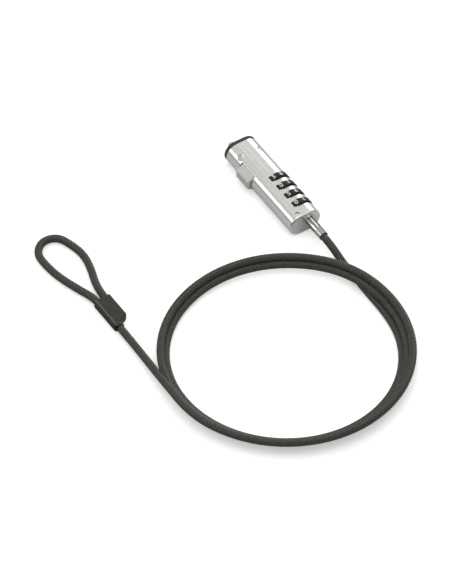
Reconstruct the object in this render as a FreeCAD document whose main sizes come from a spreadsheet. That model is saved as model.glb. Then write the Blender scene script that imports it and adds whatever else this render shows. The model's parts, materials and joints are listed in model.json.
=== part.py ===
"""Combination cable lock for a laptop: the lock, its coiled steel cable and the loop at the far end.

All sizes are in millimetres. The origin is on the underside of the housing at mid-length. +X runs from
the cable end (the tail) to the laptop end (the nose), +Y points to the button's side and +Z is up.
"""
import FreeCAD, Part
import Sketcher
import math
import os
import re
from FreeCAD import Placement, Rotation, Vector

# ---------------------------------------------------------------------------------------------
# Driving dimensions: every one becomes an aliased cell of the sheet "Dims".
# ---------------------------------------------------------------------------------------------
DIMS = {
    # housing
    "body_length": 65.0,
    "body_width": 20.0,
    "body_height": 14.0,
    "wall": 1.6,
    "tail_wall": 3.0,
    "tail_round": 1.0,
    "part_gap": 0.05,
    # dials and the shaft they turn on
    "dial_count": 4,
    "digit_count": 10,
    "first_dial_x": -22.8,
    "dial_pitch": 7.6,
    "dial_y": -2.5,
    "dial_z": 7.8,
    "dial_radius": 7.6,
    "dial_width": 3.5,
    "dial_bore": 3.65,
    "dial_rim_chamfer": 0.3,
    "notch_width": 0.35,
    "notch_depth": 0.25,
    "notch_spacing": 0.9,
    "window_width": 4.0,
    "window_radius": 7.85,
    "hub_radius": 3.6,
    "hub_bore": 1.55,
    "cam_radius": 4.4,
    "cam_start": 1.8,
    "cam_width": 1.2,
    "gate_floor": 2.9,
    "gate_half_width": 1.3,
    "arbor_radius": 1.5,
    "arbor_bore": 1.52,
    "arbor_tail_x": -27.9,
    "rear_plate_width": 1.0,
    "bulkhead_x": 5.0,
    "bulkhead_width": 1.5,
    "spacer_radius": 2.4,
    "spacer_gap": 0.1,
    # index mark on the top face
    "mark_x": -29.6,
    "mark_y": 3.3,
    "mark_half_width": 1.4,
    "mark_rise": 1.2,
    "mark_skew": 0.9,
    "mark_stroke": 0.55,
    "mark_depth": 0.3,
    # button and the comb that it carries
    "button_tail_x": 7.45,
    "button_length": 12.7,
    "button_inner_y": 6.9,
    "button_edge_y": 7.15,
    "button_outer_y": 11.8,
    "button_half_height": 5.35,
    "button_face_half_height": 2.6,
    "button_bevel": 0.6,
    "button_travel": 1.6,
    "pocket_gap": 0.2,
    "pocket_floor_y": 5.2,
    "pocket_half_height": 5.5,
    "comb_y": 6.95,
    "comb_thickness": 0.9,
    "comb_low_z": 6.6,
    "comb_high_z": 9.0,
    "comb_tail_x": -21.2,
    "comb_nose_x": 7.3,
    "elbow_width": 0.6,
    "tooth_start": 1.95,
    "tooth_width": 0.9,
    "tooth_tip_y": 2.2,
    "tooth_half_height": 1.0,
    "carrier_y": 5.4,
    "carrier_top_y": 6.85,
    "carrier_low_z": 4.5,
    "carrier_high_z": 9.5,
    "yoke_tail_x": 17.6,
    "yoke_width": 1.8,
    "yoke_low_y": 1.9,
    "yoke_slot_half_width": 0.6,
    "yoke_slot_low_z": 6.8,
    "yoke_slot_high_z": 9.2,
    "spring_x": 12.5,
    "spring_radius": 1.4,
    "spring_wire": 0.22,
    "spring_turns": 7,
    "spring_low_y": -8.1,
    "spring_gap": 0.1,
    "post_length": 2.0,
    "post_root": 0.5,
    # nose: lock core, T-bar, rubber bumper
    "core_tail_x": 21.3,
    "pin_x": 23.3,
    "pin_radius": 1.9,
    "pin_tilt": 30.0,
    "pin_foot": 4.3,
    "pin_stand": 0.12,
    "pin_edge_drop": 0.3,
    "pin_flat_inset": 0.45,
    "pin_flat_drop": 0.05,
    "bumper_length": 2.6,
    "bumper_round": 0.6,
    "bumper_hole": 4.0,
    "bar_y": 3.6,
    "bar_shaft_radius": 1.7,
    "bar_neck_radius": 1.1,
    "bar_neck_x": 32.3,
    "bar_head_x": 36.9,
    "bar_head_width": 1.6,
    "bar_head_half_height": 3.3,
    "bar_head_half_depth": 1.4,
    "crank_x": 20.35,
    "crank_width": 0.8,
    "crank_radius": 2.2,
    "crank_pin_radius": 0.5,
    "crank_offset": 0.8,
    "crank_pin_x": 17.7,
    "prong_plate_radius": 3.9,
    "prong_plate_width": 0.8,
    "prong_hole": 1.3,
    "prong_offset": 2.4,
    "prong_half_width": 0.5,
    "prong_half_height": 1.2,
    "prong_length": 3.9,
    # leaf spring under the hubs
    "leaf_y": 5.3,
    "leaf_thickness": 0.4,
    "leaf_low_z": 2.4,
    "leaf_high_z": 5.8,
    "leaf_nose_x": 3.2,
    "leaf_tip_radius": 0.5,
    "leaf_tip_z": 2.75,
    # code-reset screw in the underside
    "reset_x": 13.5,
    "reset_y": 0.0,
    "reset_radius": 2.0,
    "reset_sink": 0.3,
    "reset_flange_radius": 2.9,
    "reset_flange_width": 0.6,
    "reset_shank_radius": 1.2,
    "reset_top_z": 4.2,
    "reset_slot_width": 0.6,
    "reset_slot_depth": 0.5,
    # swivelling cable fitting in the tail wall
    "bush_radius": 3.0,
    "bush_bore": 1.95,
    "bush_flange_radius": 3.9,
    "bush_flange_width": 0.6,
    "journal_radius": 1.9,
    "journal_end_x": -28.2,
    "groove_x": -29.25,
    "groove_width": 0.7,
    "groove_radius": 1.3,
    "clip_radius": 2.6,
    "clip_bore": 1.35,
    "clip_width": 0.5,
    "clip_mouth": 1.6,
    "crimp_start_x": -33.3,
    "crimp_end_x": -41.5,
    "crimp_width": 4.4,
    "crimp_height": 4.8,
    "crimp_chamfer": 0.8,
    "collar_end_x": -47.0,
    "collar_radius": 2.7,
    "collar_bore": 2.15,
    "collar_socket": 4.0,
    # cable
    "cable_diameter": 4.2,
    "coil_x": -105.2,
    "coil_y": 60.3,
    "coil_inner_radius": 63.0,
    "coil_outer_radius": 70.0,
    "coil_top_z": 8.0,
    # crimp at the loop
    "lane_y": 123.35,
    "lane_offset": 2.35,
    "lane_z": 2.8,
    "lane_bore": 2.15,
    "barrel_tail_x": -34.0,
    "barrel_length": 14.0,
    "barrel_width": 9.4,
    "barrel_height": 4.8,
    "sleeve_tail_x": -34.7,
    "sleeve_length": 17.6,
    "sleeve_slant": 5.0,
    "sleeve_width": 10.2,
    "sleeve_height": 5.6,
    "sleeve_round": 0.9,
    "boss_radius": 2.75,
    "boss_length": 5.0,
    "boss_root": 3.0,
    "sleeve_lip_radius": 2.4,
    "sleeve_lip_width": 0.6,
}

# The cable's route where it isn't coiled. Each point is a corner that the cable rounds off.
LEAD_ROUTE = [
    (-43.2, -2.5, 7.80),
    (-53.5, -2.6, 7.70),
    (-66.5, -3.3, 2.14),
    (-78.0, -3.5, 2.10),
    (-89.0, -3.0, 2.12),
]
TAIL_ROUTE = [
    (-111.4, 129.7, 8.00),
    (-97.0, 129.0, 7.20),
    (-82.0, 127.9, 5.40),
    (-67.5, 126.6, 3.60),
    (-54.0, 125.8, 2.75),
    (-41.0, 125.7, 2.80),
    (-28.0, 125.7, 2.80),
]
LOOP_ROUTE = [
    (-28.0, 125.7, 2.80),
    (-14.5, 125.7, 2.80),
    (-3.2, 129.4, 2.22),
    (10.5, 133.6, 2.10),
    (22.0, 135.0, 2.12),
    (31.8, 134.5, 2.10),
    (38.2, 127.6, 2.10),
    (36.4, 118.6, 2.10),
    (28.3, 115.2, 2.12),
    (17.6, 113.1, 2.10),
    (6.5, 115.3, 2.12),
    (-3.8, 119.1, 2.22),
    (-14.5, 121.0, 2.80),
    (-28.0, 121.0, 2.80),
]

# The housing's section: half its flat width, and the radius of what fits inside its wall.
HALF_FLAT = "body_width / 2 - body_height / 2"
INSIDE_RADIUS = "body_height / 2 - wall - part_gap"

ALONG_X = Rotation(Vector(0, 1, 0), 90)
ALONG_Y = Rotation(Vector(1, 0, 0), -90)
ALONG_Z = Rotation()

doc = FreeCAD.newDocument("cable_lock")
sheet = doc.addObject("Spreadsheet::Sheet", "Dims")
for row, (alias, number) in enumerate(DIMS.items(), start=1):
    sheet.set(f"A{row}", alias)
    sheet.set(f"B{row}", str(number))
    sheet.setAlias(f"B{row}", alias)
doc.recompute()

NODES = []


# ---------------------------------------------------------------------------------------------
# Helpers
# ---------------------------------------------------------------------------------------------
def amount(formula):
    """The number that a formula of cell names, +, -, * and / stands for."""
    total = 0.0
    for sign, term in re.findall(r"([+-]?)\s*([^+-]+)", formula):
        product = 1.0
        for mark, word in re.findall(r"([*/]?)\s*([\w.]+)", term):
            number = DIMS[word] if word in DIMS else float(word)
            product = product / number if mark == "/" else product * number
        total += -product if sign == "-" else product
    return total


def in_cells(formula):
    """The same formula with every name pointing at its cell of the sheet."""
    return re.sub(r"[a-z_]{2,}", lambda word: "Dims." + word.group(), formula)


def bind(thing, prop, formula):
    """Ties a property to the sheet."""
    thing.setExpression(prop, in_cells(formula))


def place(thing, x, y, z):
    bind(thing, "Placement.Base.x", x)
    bind(thing, "Placement.Base.y", y)
    bind(thing, "Placement.Base.z", z)


def node(thing, label):
    """Names a finished sub-part."""
    thing.Label = label
    NODES.append(thing)
    return thing


def box(name, x, y, z):
    """A block between two formulas along each axis."""
    block = doc.addObject("Part::Box", name)
    for prop, (low, high) in zip(("Length", "Width", "Height"), (x, y, z)):
        block.setExpression(prop, f"({in_cells(high)}) - ({in_cells(low)})")
    place(block, x[0], y[0], z[0])
    return block


def rod(name, direction, start, radius, length):
    """A cylinder from a start point along X, Y or Z."""
    cylinder = doc.addObject("Part::Cylinder", name)
    cylinder.Placement = Placement(Vector(), direction)
    bind(cylinder, "Radius", radius)
    bind(cylinder, "Height", length)
    place(cylinder, *start)
    return cylinder


def fuse(name, pieces):
    union = doc.addObject("Part::MultiFuse", name)
    union.Shapes = pieces
    return union


def cut(name, base, tools):
    difference = doc.addObject("Part::Cut", name)
    difference.Base = base
    difference.Tool = tools[0] if len(tools) == 1 else fuse(name + "_tools", tools)
    return difference


def new_body(label):
    body = doc.addObject("PartDesign::Body", label)
    return node(body, label)


def origin_feature(body, role):
    return next(feature for feature in body.Origin.OriginFeatures if feature.Role == role)


def new_sketch(body, name, plane, offset="0"):
    """A sketch on one of the body's own planes, moved along the plane's normal."""
    sketch = body.newObject("Sketcher::SketchObject", name)
    sketch.AttachmentSupport = [(origin_feature(body, plane), "")]
    sketch.MapMode = "FlatFace"
    bind(sketch, "AttachmentOffset.Base.z", offset)
    return sketch


def constrain(sketch, kind, where, formula):
    """Adds a driving constraint that follows the sheet."""
    index = sketch.addConstraint(Sketcher.Constraint(kind, *where, amount(formula)))
    bind(sketch, f"Constraints[{index}]", formula)


def join(sketch, kind, *where):
    sketch.addConstraint(Sketcher.Constraint(kind, *where))


def circle(sketch, across, up, radius):
    centre = Vector(amount(across), amount(up), 0)
    ring = sketch.addGeometry(Part.Circle(centre, Vector(0, 0, 1), amount(radius)))
    constrain(sketch, "Radius", (ring,), radius)
    constrain(sketch, "DistanceX", (-1, 1, ring, 3), across)
    constrain(sketch, "DistanceY", (-1, 1, ring, 3), up)


def outline(sketch, corners):
    """A closed polygon whose corners are pairs of formulas."""
    points = [Vector(amount(across), amount(up), 0) for across, up in corners]
    lines = [
        sketch.addGeometry(Part.LineSegment(points[i], points[(i + 1) % len(points)]))
        for i in range(len(points))
    ]
    for i, line in enumerate(lines):
        join(sketch, "Coincident", line, 2, lines[(i + 1) % len(lines)], 1)
        constrain(sketch, "DistanceX", (-1, 1, line, 1), corners[i][0])
        constrain(sketch, "DistanceY", (-1, 1, line, 1), corners[i][1])


def stadium(sketch, radius, half_flat, across="0", up="body_height / 2"):
    """Two arcs of one radius joined by flats, centred on a point."""
    size = amount(radius)
    middle = Vector(amount(across), amount(up), 0)
    right = middle + Vector(amount(half_flat), 0, 0)
    left = middle - Vector(amount(half_flat), 0, 0)
    rise = Vector(0, size, 0)
    normal = Vector(0, 0, 1)
    quarter = math.pi / 2
    top = sketch.addGeometry(Part.LineSegment(left + rise, right + rise))
    east = sketch.addGeometry(Part.ArcOfCircle(Part.Circle(right, normal, size), -quarter, quarter))
    base = sketch.addGeometry(Part.LineSegment(right - rise, left - rise))
    west = sketch.addGeometry(Part.ArcOfCircle(Part.Circle(left, normal, size), quarter, 3 * quarter))
    join(sketch, "Tangent", top, 2, east, 2)
    join(sketch, "Tangent", east, 1, base, 1)
    join(sketch, "Tangent", base, 2, west, 2)
    join(sketch, "Tangent", west, 1, top, 1)
    join(sketch, "Horizontal", top)
    join(sketch, "Equal", east, west)
    constrain(sketch, "Radius", (east,), radius)
    constrain(sketch, "DistanceX", (west, 3, east, 3), f"{half_flat} + {half_flat}")
    constrain(sketch, "DistanceX", (-1, 1, east, 3), f"{across} + {half_flat}")
    constrain(sketch, "DistanceY", (-1, 1, east, 3), up)


def pad(body, sketch, length):
    feature = body.newObject("PartDesign::Pad", sketch.Name + "_pad")
    feature.Profile = sketch
    bind(feature, "Length", length)
    sketch.Visibility = False
    return feature


def pocket(body, sketch, length):
    """Cuts from the sketch against its plane's normal."""
    feature = body.newObject("PartDesign::Pocket", sketch.Name + "_pocket")
    feature.Profile = sketch
    bind(feature, "Length", length)
    return feature


def dress(body, kind, size_name, size, is_wanted):
    """A fillet or chamfer on the edges of the body's tip that a test picks."""
    doc.recompute()
    base = body.Tip
    names = [f"Edge{i}" for i, edge in enumerate(base.Shape.Edges, start=1) if is_wanted(edge.BoundBox)]
    feature = body.newObject("PartDesign::" + kind, body.Name + "_" + kind.lower())
    feature.Base = (base, names)
    bind(feature, size_name, size)
    return feature


def pin_bore(body, name, side, radius, foot):
    """A slanted bore for one core pin, square to the shoulder it comes out of."""
    bore = body.newObject("PartDesign::SubtractiveCylinder", name)
    bore.Placement = Placement(Vector(), Rotation(Vector(1, 0, 0), -side * DIMS["pin_tilt"]))
    bind(bore, "Radius", radius)
    bind(bore, "Height", "body_height")
    lean = math.radians(DIMS["pin_tilt"])
    shoulder_y = side * (DIMS["body_width"] - DIMS["body_height"]) / 2
    bore.Placement.Base = Vector(
        DIMS["pin_x"],
        shoulder_y + side * amount(foot) * math.sin(lean),
        DIMS["body_height"] / 2 + amount(foot) * math.cos(lean),
    )
    return bore


def rounded_path(points):
    """Straight runs joined by tangent arcs, each as large as its two runs allow."""
    corners = [Vector(*point) for point in points]
    edges = []
    radii = []
    start = corners[0]
    for before, corner, after in zip(corners, corners[1:], corners[2:]):
        back, ahead = before - corner, after - corner
        turn = math.pi - back.getAngle(ahead)
        setback = 0.45 * min(back.Length, ahead.Length)
        radii.append(setback / math.tan(turn / 2))
        entry = corner + back.normalize() * setback
        leave = corner + ahead.normalize() * setback
        inward = ((entry + leave) * 0.5 - corner).normalize()
        middle = corner + inward * (radii[-1] / math.cos(turn / 2) - radii[-1])
        edges.append(Part.LineSegment(start, entry).toShape())
        edges.append(Part.Arc(entry, middle, leave).toShape())
        start = leave
    edges.append(Part.LineSegment(start, corners[-1]).toShape())
    return Part.Wire(edges), radii


def tube(label, points):
    """A length of cable along its route."""
    path, radii = rounded_path(points)
    radius = DIMS["cable_diameter"] / 2
    ahead = Vector(*points[1]) - Vector(*points[0])
    section = Part.Wire(Part.makeCircle(radius, Vector(*points[0]), ahead))
    solid = path.makePipeShell([section], True, True)
    expected = math.pi * radius**2 * path.Length
    if abs(solid.Volume / expected - 1) > 0.01:
        raise RuntimeError(f"{label}: volume {solid.Volume:.1f}, expected {expected:.1f}")
    print(label, "length", round(path.Length, 1), "radii", [round(r, 1) for r in radii])
    feature = doc.addObject("Part::Feature", label)
    feature.Shape = solid
    return node(feature, label)


# ---------------------------------------------------------------------------------------------
# Housing and the pieces fixed in it
# ---------------------------------------------------------------------------------------------
def make_housing():
    body = new_body("housing")
    shell = new_sketch(body, "shell_outline", "YZ_Plane", "-body_length / 2")
    stadium(shell, "body_height / 2", HALF_FLAT)
    pad(body, shell, "body_length")
    tail_x = -DIMS["body_length"] / 2
    dress(body, "Fillet", "Radius", "tail_round", lambda b: b.XMax < tail_x + 0.01)

    cavity = new_sketch(body, "cavity_outline", "YZ_Plane", "body_length / 2")
    stadium(cavity, "body_height / 2 - wall", HALF_FLAT)
    pocket(body, cavity, "body_length - tail_wall")

    window = new_sketch(body, "window_circle", "YZ_Plane", "first_dial_x + window_width / 2")
    circle(window, "dial_y", "dial_z", "window_radius")
    first_window = pocket(body, window, "window_width")
    windows = body.newObject("PartDesign::LinearPattern", "windows")
    windows.Originals = [first_window]
    windows.Direction = (origin_feature(body, "X_Axis"), [""])
    bind(windows, "Length", "dial_count * dial_pitch - dial_pitch")
    windows.Occurrences = DIMS["dial_count"]
    body.Tip = windows
    doc.recompute()

    recess = new_sketch(body, "button_recess", "XY_Plane", "body_height / 2 + pocket_half_height")
    near_x = "button_tail_x - pocket_gap"
    far_x = "button_tail_x + button_length + pocket_gap"
    outline(recess, [
        (near_x, "pocket_floor_y"), (far_x, "pocket_floor_y"),
        (far_x, "body_width"), (near_x, "body_width"),
    ])
    pocket(body, recess, "2 * pocket_half_height")

    bush = new_sketch(body, "bush_hole", "YZ_Plane", "tail_wall - body_length / 2")
    circle(bush, "dial_y", "dial_z", "bush_radius")
    pocket(body, bush, "2 * tail_wall")

    reset = new_sketch(body, "reset_hole", "XY_Plane", "wall")
    circle(reset, "reset_x", "reset_y", "reset_radius + part_gap")
    pocket(body, reset, "2 * wall")

    mark = new_sketch(body, "index_mark", "XY_Plane", "body_height")
    outline(mark, [
        ("mark_x - mark_skew", "mark_y - mark_half_width"),
        ("mark_x + mark_rise", "mark_y - mark_skew / 2"),
        ("mark_x + mark_skew", "mark_y + mark_half_width"),
        ("mark_x + mark_skew - mark_stroke", "mark_y + mark_half_width"),
        ("mark_x + mark_rise - 1.5 * mark_stroke", "mark_y - mark_skew / 2 + mark_stroke / 3"),
        ("mark_x - mark_skew - mark_stroke / 3", "mark_y - mark_half_width + mark_stroke"),
    ])
    pocket(body, mark, "mark_depth")
    for side, name in ((1, "left_pin_bore"), (-1, "right_pin_bore")):
        pin_bore(body, name, side, "pin_radius + part_gap", "pin_foot")


def make_core():
    """The block that fills the nose and carries the T-bar."""
    body = new_body("nose_block")
    block = new_sketch(body, "core_outline", "YZ_Plane", "core_tail_x")
    stadium(block, INSIDE_RADIUS, HALF_FLAT)
    pad(body, block, "body_length / 2 - core_tail_x")
    bore = new_sketch(body, "spindle_bore", "YZ_Plane", "body_length / 2")
    circle(bore, "bar_y", "body_height / 2", "bar_shaft_radius + part_gap")
    pocket(body, bore, "body_length")
    for side, name in ((1, "left_core_bore"), (-1, "right_core_bore")):
        pin_bore(body, name, side, "pin_radius + part_gap", "pin_foot")


def make_core_pins():
    """Two dowels, square to the shoulders, with low domed heads."""
    lean = math.radians(DIMS["pin_tilt"])
    shoulder = (DIMS["body_width"] - DIMS["body_height"]) / 2
    foot = DIMS["pin_foot"] + DIMS["part_gap"]
    for label, side in (("core_pin_left", 1), ("core_pin_right", -1)):
        body = new_body(label)
        profile = new_sketch(body, label + "_profile", "XY_Plane")
        top = "body_height / 2 + pin_stand - pin_foot - part_gap"
        outline(profile, [
            ("0", "0"), ("pin_radius", "0"), ("pin_radius", f"{top} - pin_stand - pin_edge_drop"),
            ("pin_radius - pin_flat_inset", f"{top} - pin_flat_drop"), ("0", top),
        ])
        turned = body.newObject("PartDesign::Revolution", label + "_turned")
        turned.Profile = profile
        turned.ReferenceAxis = (profile, ["V_Axis"])
        turned.Angle = 360
        tilt = Rotation(Vector(1, 0, 0), 90 - side * DIMS["pin_tilt"])
        place_point = Vector(
            DIMS["pin_x"],
            side * (shoulder + foot * math.sin(lean)),
            DIMS["body_height"] / 2 + foot * math.cos(lean),
        )
        body.Placement = Placement(place_point, tilt)


def make_bumper():
    body = new_body("nose_gasket")
    ring = new_sketch(body, "bumper_outline", "YZ_Plane", "body_length / 2")
    stadium(ring, "body_height / 2", HALF_FLAT)
    pad(body, ring, "bumper_length")
    front_x = DIMS["body_length"] / 2 + DIMS["bumper_length"]
    dress(body, "Fillet", "Radius", "bumper_round", lambda b: b.XMin > front_x - 0.01)
    hole = new_sketch(body, "bumper_bore", "YZ_Plane", "body_length / 2 + bumper_length")
    circle(hole, "bar_y", "body_height / 2", "bumper_hole")
    pocket(body, hole, "body_length")


def make_prongs():
    """A plate on the core's face, with two fixed prongs beside the T-bar's neck."""
    start = "body_length / 2"
    middle = "body_height / 2"
    plate = rod("prong_plate", ALONG_X, (start, "bar_y", middle), "prong_plate_radius", "prong_plate_width")
    reach = (start, "body_length / 2 + prong_length")
    high = ("body_height / 2 - prong_half_height", "body_height / 2 + prong_half_height")
    prongs = [
        box(name, reach, (f"bar_y {sign} prong_offset - prong_half_width",
                          f"bar_y {sign} prong_offset + prong_half_width"), high)
        for name, sign in (("left_prong", "+"), ("right_prong", "-"))
    ]
    hole = rod("prong_bore", ALONG_X, (start, "bar_y", middle), "prong_hole", "prong_plate_width")
    node(cut("prongs", fuse("prong_blank", [plate] + prongs), [hole]), "guide_prongs")


def make_plates():
    """The two plates that carry the arbor, shaped to the cavity."""
    for label, start, width in (
        ("rear_plate", "arbor_tail_x", "rear_plate_width"),
        ("bulkhead", "bulkhead_x", "bulkhead_width"),
    ):
        body = new_body(label)
        plate = new_sketch(body, label + "_outline", "YZ_Plane", start)
        stadium(plate, INSIDE_RADIUS, HALF_FLAT)
        pad(body, plate, width)
        bore = new_sketch(body, label + "_bore", "YZ_Plane", f"{start} + {width}")
        circle(bore, "dial_y", "dial_z", "arbor_bore")
        pocket(body, bore, f"2 * {width}")
        if label == "bulkhead":
            slot = new_sketch(body, "comb_slot", "YZ_Plane", f"{start} + {width}")
            low_y = "comb_y - button_travel - pocket_gap"
            low_z, high_z = "comb_low_z - pocket_gap", "comb_high_z + pocket_gap"
            outline(slot, [
                (low_y, low_z), ("body_width / 2", low_z),
                ("body_width / 2", high_z), (low_y, high_z),
            ])
            pocket(body, slot, f"2 * {width}")


def make_arbor():
    length = "bulkhead_x + bulkhead_width - arbor_tail_x"
    node(rod("arbor", ALONG_X, ("arbor_tail_x", "dial_y", "dial_z"), "arbor_radius", length), "dial_arbor")


def make_spacers():
    """One spacer before the first hub, one after each hub."""
    runs = [(
        "arbor_tail_x + rear_plate_width + spacer_gap",
        "first_dial_x - dial_width / 2 - arbor_tail_x - rear_plate_width - 2 * spacer_gap",
    )]
    between = "dial_pitch - dial_width / 2 - cam_start - cam_width - 2 * spacer_gap"
    for index in range(DIMS["dial_count"]):
        runs.append((f"first_dial_x + {index} * dial_pitch + cam_start + cam_width + spacer_gap", between))
    last_cam = "first_dial_x + dial_count * dial_pitch - dial_pitch + cam_start + cam_width"
    runs[-1] = (
        f"{last_cam} + spacer_gap",
        "bulkhead_x - first_dial_x - dial_count * dial_pitch + dial_pitch"
        " - cam_start - cam_width - 2 * spacer_gap",
    )
    spacers = []
    for index, (start, length) in enumerate(runs):
        where = (start, "dial_y", "dial_z")
        outer = rod(f"spacer_{index}", ALONG_X, where, "spacer_radius", length)
        inner = rod(f"spacer_bore_{index}", ALONG_X, where, "hub_bore", length)
        spacers.append(cut(f"spacer_tube_{index}", outer, [inner]))
    group = doc.addObject("Part::Compound", "spacers")
    group.Links = spacers
    node(group, "spacer_tubes")


def make_detent():
    """A leaf beside the dials with one finger under each cam."""
    strip = box(
        "leaf_strip",
        ("comb_tail_x", "leaf_nose_x"),
        ("leaf_y", "leaf_y + leaf_thickness"),
        ("leaf_low_z", "leaf_high_z"),
    )
    pieces = [strip]
    for index in range(DIMS["dial_count"]):
        start = f"first_dial_x + {index} * dial_pitch + tooth_start"
        pieces.append(box(
            f"finger_{index}",
            (start, f"{start} + tooth_width"),
            ("dial_y - leaf_tip_radius", "leaf_y + leaf_thickness"),
            ("leaf_low_z", "leaf_low_z + leaf_thickness"),
        ))
        pieces.append(rod(
            f"finger_tip_{index}", ALONG_X, (start, "dial_y", "leaf_tip_z"), "leaf_tip_radius", "tooth_width"
        ))
    node(fuse("detent", pieces), "detent_spring")


# ---------------------------------------------------------------------------------------------
# Dials
# ---------------------------------------------------------------------------------------------
def make_dial(index):
    """A numbered ring with two fine notches between each pair of digits, built around its own axis."""
    label = f"dial_{index + 1}"
    body = new_body(label)
    ring = new_sketch(body, label + "_ring", "YZ_Plane", "-dial_width / 2")
    circle(ring, "0", "0", "dial_radius")
    circle(ring, "0", "0", "dial_bore")
    pad(body, ring, "dial_width")
    inside = DIMS["dial_radius"] - DIMS["dial_rim_chamfer"]
    dress(body, "Chamfer", "Size", "dial_rim_chamfer", lambda b: b.YMax > inside and b.XLength < 0.01)
    notches = new_sketch(body, label + "_notches", "YZ_Plane", "dial_width / 2")
    for middle in ("-notch_spacing / 2", "notch_spacing / 2"):
        outline(notches, [
            (f"{middle} - notch_width / 2", "dial_radius - notch_depth"),
            (f"{middle} + notch_width / 2", "dial_radius - notch_depth"),
            (f"{middle} + notch_width / 2", "dial_radius + notch_depth"),
            (f"{middle} - notch_width / 2", "dial_radius + notch_depth"),
        ])
    first = pocket(body, notches, "dial_width")
    around = body.newObject("PartDesign::PolarPattern", label + "_around")
    around.Originals = [first]
    around.Axis = (origin_feature(body, "X_Axis"), [""])
    around.Angle = 360
    around.Occurrences = DIMS["digit_count"]
    body.Tip = around
    place(body, f"first_dial_x + {index} * dial_pitch", "dial_y", "dial_z")


def make_hub(index):
    """The sleeve inside a dial, with a cam whose gates the comb's tooth drops into."""
    label = f"dial_hub_{index + 1}"
    body = new_body(label)
    sleeve = new_sketch(body, label + "_sleeve", "YZ_Plane", "-dial_width / 2")
    circle(sleeve, "0", "0", "hub_radius")
    pad(body, sleeve, "dial_width / 2 + cam_start")
    cam = new_sketch(body, label + "_cam", "YZ_Plane", "cam_start")
    circle(cam, "0", "0", "cam_radius")
    pad(body, cam, "cam_width")
    gates = new_sketch(body, label + "_gates", "YZ_Plane", "cam_start + cam_width")
    for inner, outer in (("gate_floor", "cam_radius + wall"), ("-gate_floor", "-cam_radius - wall")):
        outline(gates, [
            (inner, "-gate_half_width"), (outer, "-gate_half_width"),
            (outer, "gate_half_width"), (inner, "gate_half_width"),
        ])
    pocket(body, gates, "cam_width")
    bore = new_sketch(body, label + "_bore", "YZ_Plane", "cam_start + cam_width")
    circle(bore, "0", "0", "hub_bore")
    pocket(body, bore, "2 * dial_radius")
    place(body, f"first_dial_x + {index} * dial_pitch", "dial_y", "dial_z")


# ---------------------------------------------------------------------------------------------
# Button, comb and T-bar
# ---------------------------------------------------------------------------------------------
def make_button():
    body = new_body("button")
    section = new_sketch(body, "button_section", "YZ_Plane", "button_tail_x")
    low, high = "body_height / 2 - ", "body_height / 2 + "
    outline(section, [
        ("button_inner_y", low + "button_half_height"),
        ("button_edge_y", low + "button_half_height"),
        ("button_outer_y", low + "button_face_half_height"),
        ("button_outer_y", high + "button_face_half_height"),
        ("button_edge_y", high + "button_half_height"),
        ("button_inner_y", high + "button_half_height"),
    ])
    pad(body, section, "button_length")
    edge_y = DIMS["button_edge_y"] - 0.01
    dress(body, "Chamfer", "Size", "button_bevel", lambda b: b.XLength < 0.01 and b.YMin > edge_y)


def make_comb():
    """The slide behind the button: a spine with four teeth, an elbow, a carrier and a yoke."""
    spine_z = ("comb_low_z", "comb_high_z")
    spine_y = ("comb_y", "comb_y + comb_thickness")
    pieces = [
        box("comb_spine", ("comb_tail_x", "comb_nose_x"), spine_y, spine_z),
        box("comb_elbow", ("comb_nose_x - elbow_width", "comb_nose_x"),
            ("carrier_y", "comb_y + comb_thickness"), spine_z),
        box("comb_carrier", ("comb_nose_x - elbow_width", "yoke_tail_x + yoke_width"),
            ("carrier_y", "carrier_top_y"), ("carrier_low_z", "carrier_high_z")),
        box("yoke_plate", ("yoke_tail_x", "yoke_tail_x + yoke_width"),
            ("yoke_low_y", "carrier_top_y"), ("carrier_low_z", "carrier_high_z")),
        rod("spring_post", ALONG_Y, ("spring_x", "carrier_y - post_length", "body_height / 2"),
            "spring_radius - 2 * spring_wire", "post_length + post_root"),
    ]
    for index in range(DIMS["dial_count"]):
        start = f"first_dial_x + {index} * dial_pitch + tooth_start"
        pieces.append(box(
            f"tooth_{index}",
            (start, f"{start} + tooth_width"),
            ("tooth_tip_y", "comb_y + comb_thickness / 2"),
            ("dial_z - tooth_half_height", "dial_z + tooth_half_height"),
        ))
    middle = "bar_y + crank_offset"
    slot = box(
        "yoke_slot",
        ("yoke_tail_x - wall", "yoke_tail_x + yoke_width + wall"),
        (f"{middle} - yoke_slot_half_width", f"{middle} + yoke_slot_half_width"),
        ("yoke_slot_low_z", "yoke_slot_high_z"),
    )
    node(cut("comb", fuse("comb_blank", pieces), [slot]), "fence_slide")


def make_spring():
    """The button's return spring, wound along Y from the far wall to the carrier."""
    wire = DIMS["spring_wire"]
    length = DIMS["carrier_y"] - wire - DIMS["spring_low_y"] - DIMS["spring_gap"]
    helix = Part.makeHelix(length / DIMS["spring_turns"], length, DIMS["spring_radius"])
    section = Part.Wire(Part.makeCircle(wire, Vector(DIMS["spring_radius"], 0, 0), Vector(0, 1, 0)))
    coil = Part.Wire(helix.Edges).makePipeShell([section], True, True)
    feature = doc.addObject("Part::Feature", "spring")
    feature.Shape = coil
    start = Vector(DIMS["spring_x"], DIMS["spring_low_y"], DIMS["body_height"] / 2)
    feature.Placement = Placement(start, ALONG_Y)
    node(feature, "button_spring")


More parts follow.
